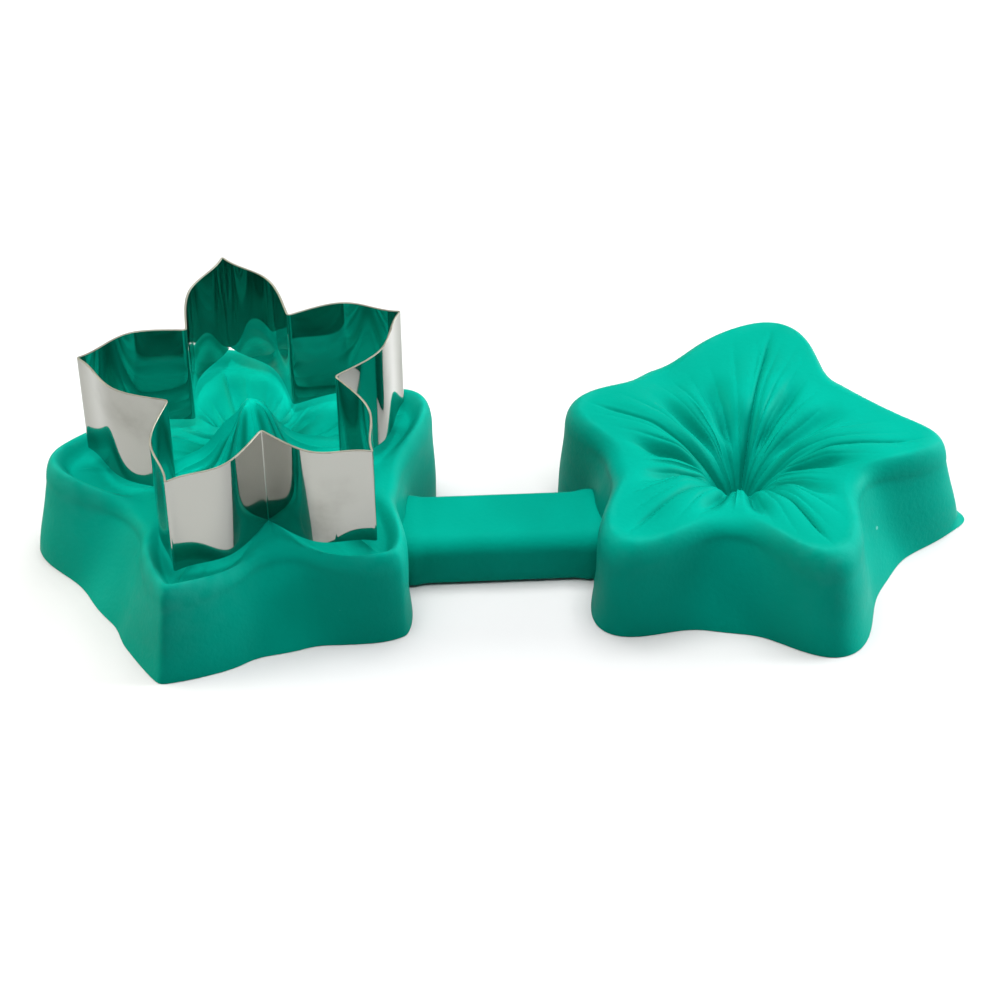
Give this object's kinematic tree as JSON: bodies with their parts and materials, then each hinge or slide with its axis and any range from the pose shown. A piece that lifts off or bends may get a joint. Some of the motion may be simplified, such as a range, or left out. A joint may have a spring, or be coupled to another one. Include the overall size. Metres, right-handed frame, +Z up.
{
  "type": "silicone flower press with petal cutter",
  "caption": "Folding silicone flower press: a raised and a hollow star block joined by a flexible strap, with a steel petal cutter for sugar paste.",
  "frame": {"origin": "under the middle of the strap, at the centre of the outline, on the surface that the press lies on", "axes": "+X along the strap from the raised half to the hollow half, +Y to the back, +Z up"},
  "size_m": [0.1522, 0.0674, 0.0428],
  "materials": {
    "silicone": "satin moulded silicone",
    "steel": "polished stainless strip"
  },
  "bodies": {
    "raised_half": {"raised_half": "silicone"},
    "strap_link_1": {"strap_link_1": "silicone"},
    "strap_link_2": {"strap_link_2": "silicone"},
    "strap_link_3": {"strap_link_3": "silicone"},
    "strap_link_4": {"strap_link_4": "silicone"},
    "strap_link_5": {"strap_link_5": "silicone"},
    "hollow_half": {"hollow_half": "silicone"},
    "petal_cutter": {"petal_cutter": "steel"}
  },
  "joints": [
    {"name": "strap_bend_1", "type": "hinge", "parent": "raised_half", "child": "strap_link_1", "pos_m": [-0.0134, -0.0052, 0.0088], "axis": [0, -1, 0], "range_deg": [0, 30], "stiffness_Nm_per_rad": 0.18},
    {"name": "strap_bend_2", "type": "hinge", "parent": "strap_link_1", "child": "strap_link_2", "pos_m": [-0.00804, -0.0052, 0.0088], "axis": [0, -1, 0], "range_deg": [0, 30], "stiffness_Nm_per_rad": 0.18},
    {"name": "strap_bend_3", "type": "hinge", "parent": "strap_link_2", "child": "strap_link_3", "pos_m": [-0.00268, -0.0052, 0.0088], "axis": [0, -1, 0], "range_deg": [0, 30], "stiffness_Nm_per_rad": 0.18},
    {"name": "strap_bend_4", "type": "hinge", "parent": "strap_link_3", "child": "strap_link_4", "pos_m": [0.00268, -0.0052, 0.0088], "axis": [0, -1, 0], "range_deg": [0, 30], "stiffness_Nm_per_rad": 0.18},
    {"name": "strap_bend_5", "type": "hinge", "parent": "strap_link_4", "child": "strap_link_5", "pos_m": [0.00804, -0.0052, 0.0088], "axis": [0, -1, 0], "range_deg": [0, 30], "stiffness_Nm_per_rad": 0.18},
    {"name": "strap_bend_6", "type": "hinge", "parent": "strap_link_5", "child": "hollow_half", "pos_m": [0.0134, -0.0052, 0.0088], "axis": [0, -1, 0], "range_deg": [0, 30], "stiffness_Nm_per_rad": 0.18},
    {"name": "cutter_lift", "type": "slide", "parent": "raised_half", "child": "petal_cutter", "axis": [0, 0, 1], "range_m": [0, 0.15]}
  ],
  "couplings": [
    {"joint": "strap_bend_2", "follows": "strap_bend_1", "ratio": 1},
    {"joint": "strap_bend_3", "follows": "strap_bend_1", "ratio": 1},
    {"joint": "strap_bend_4", "follows": "strap_bend_1", "ratio": 1},
    {"joint": "strap_bend_5", "follows": "strap_bend_1", "ratio": 1},
    {"joint": "strap_bend_6", "follows": "strap_bend_1", "ratio": 1},
    {"joint": "cutter_lift", "follows": "strap_bend_1", "m_per_rad": 0.286}
  ]
}
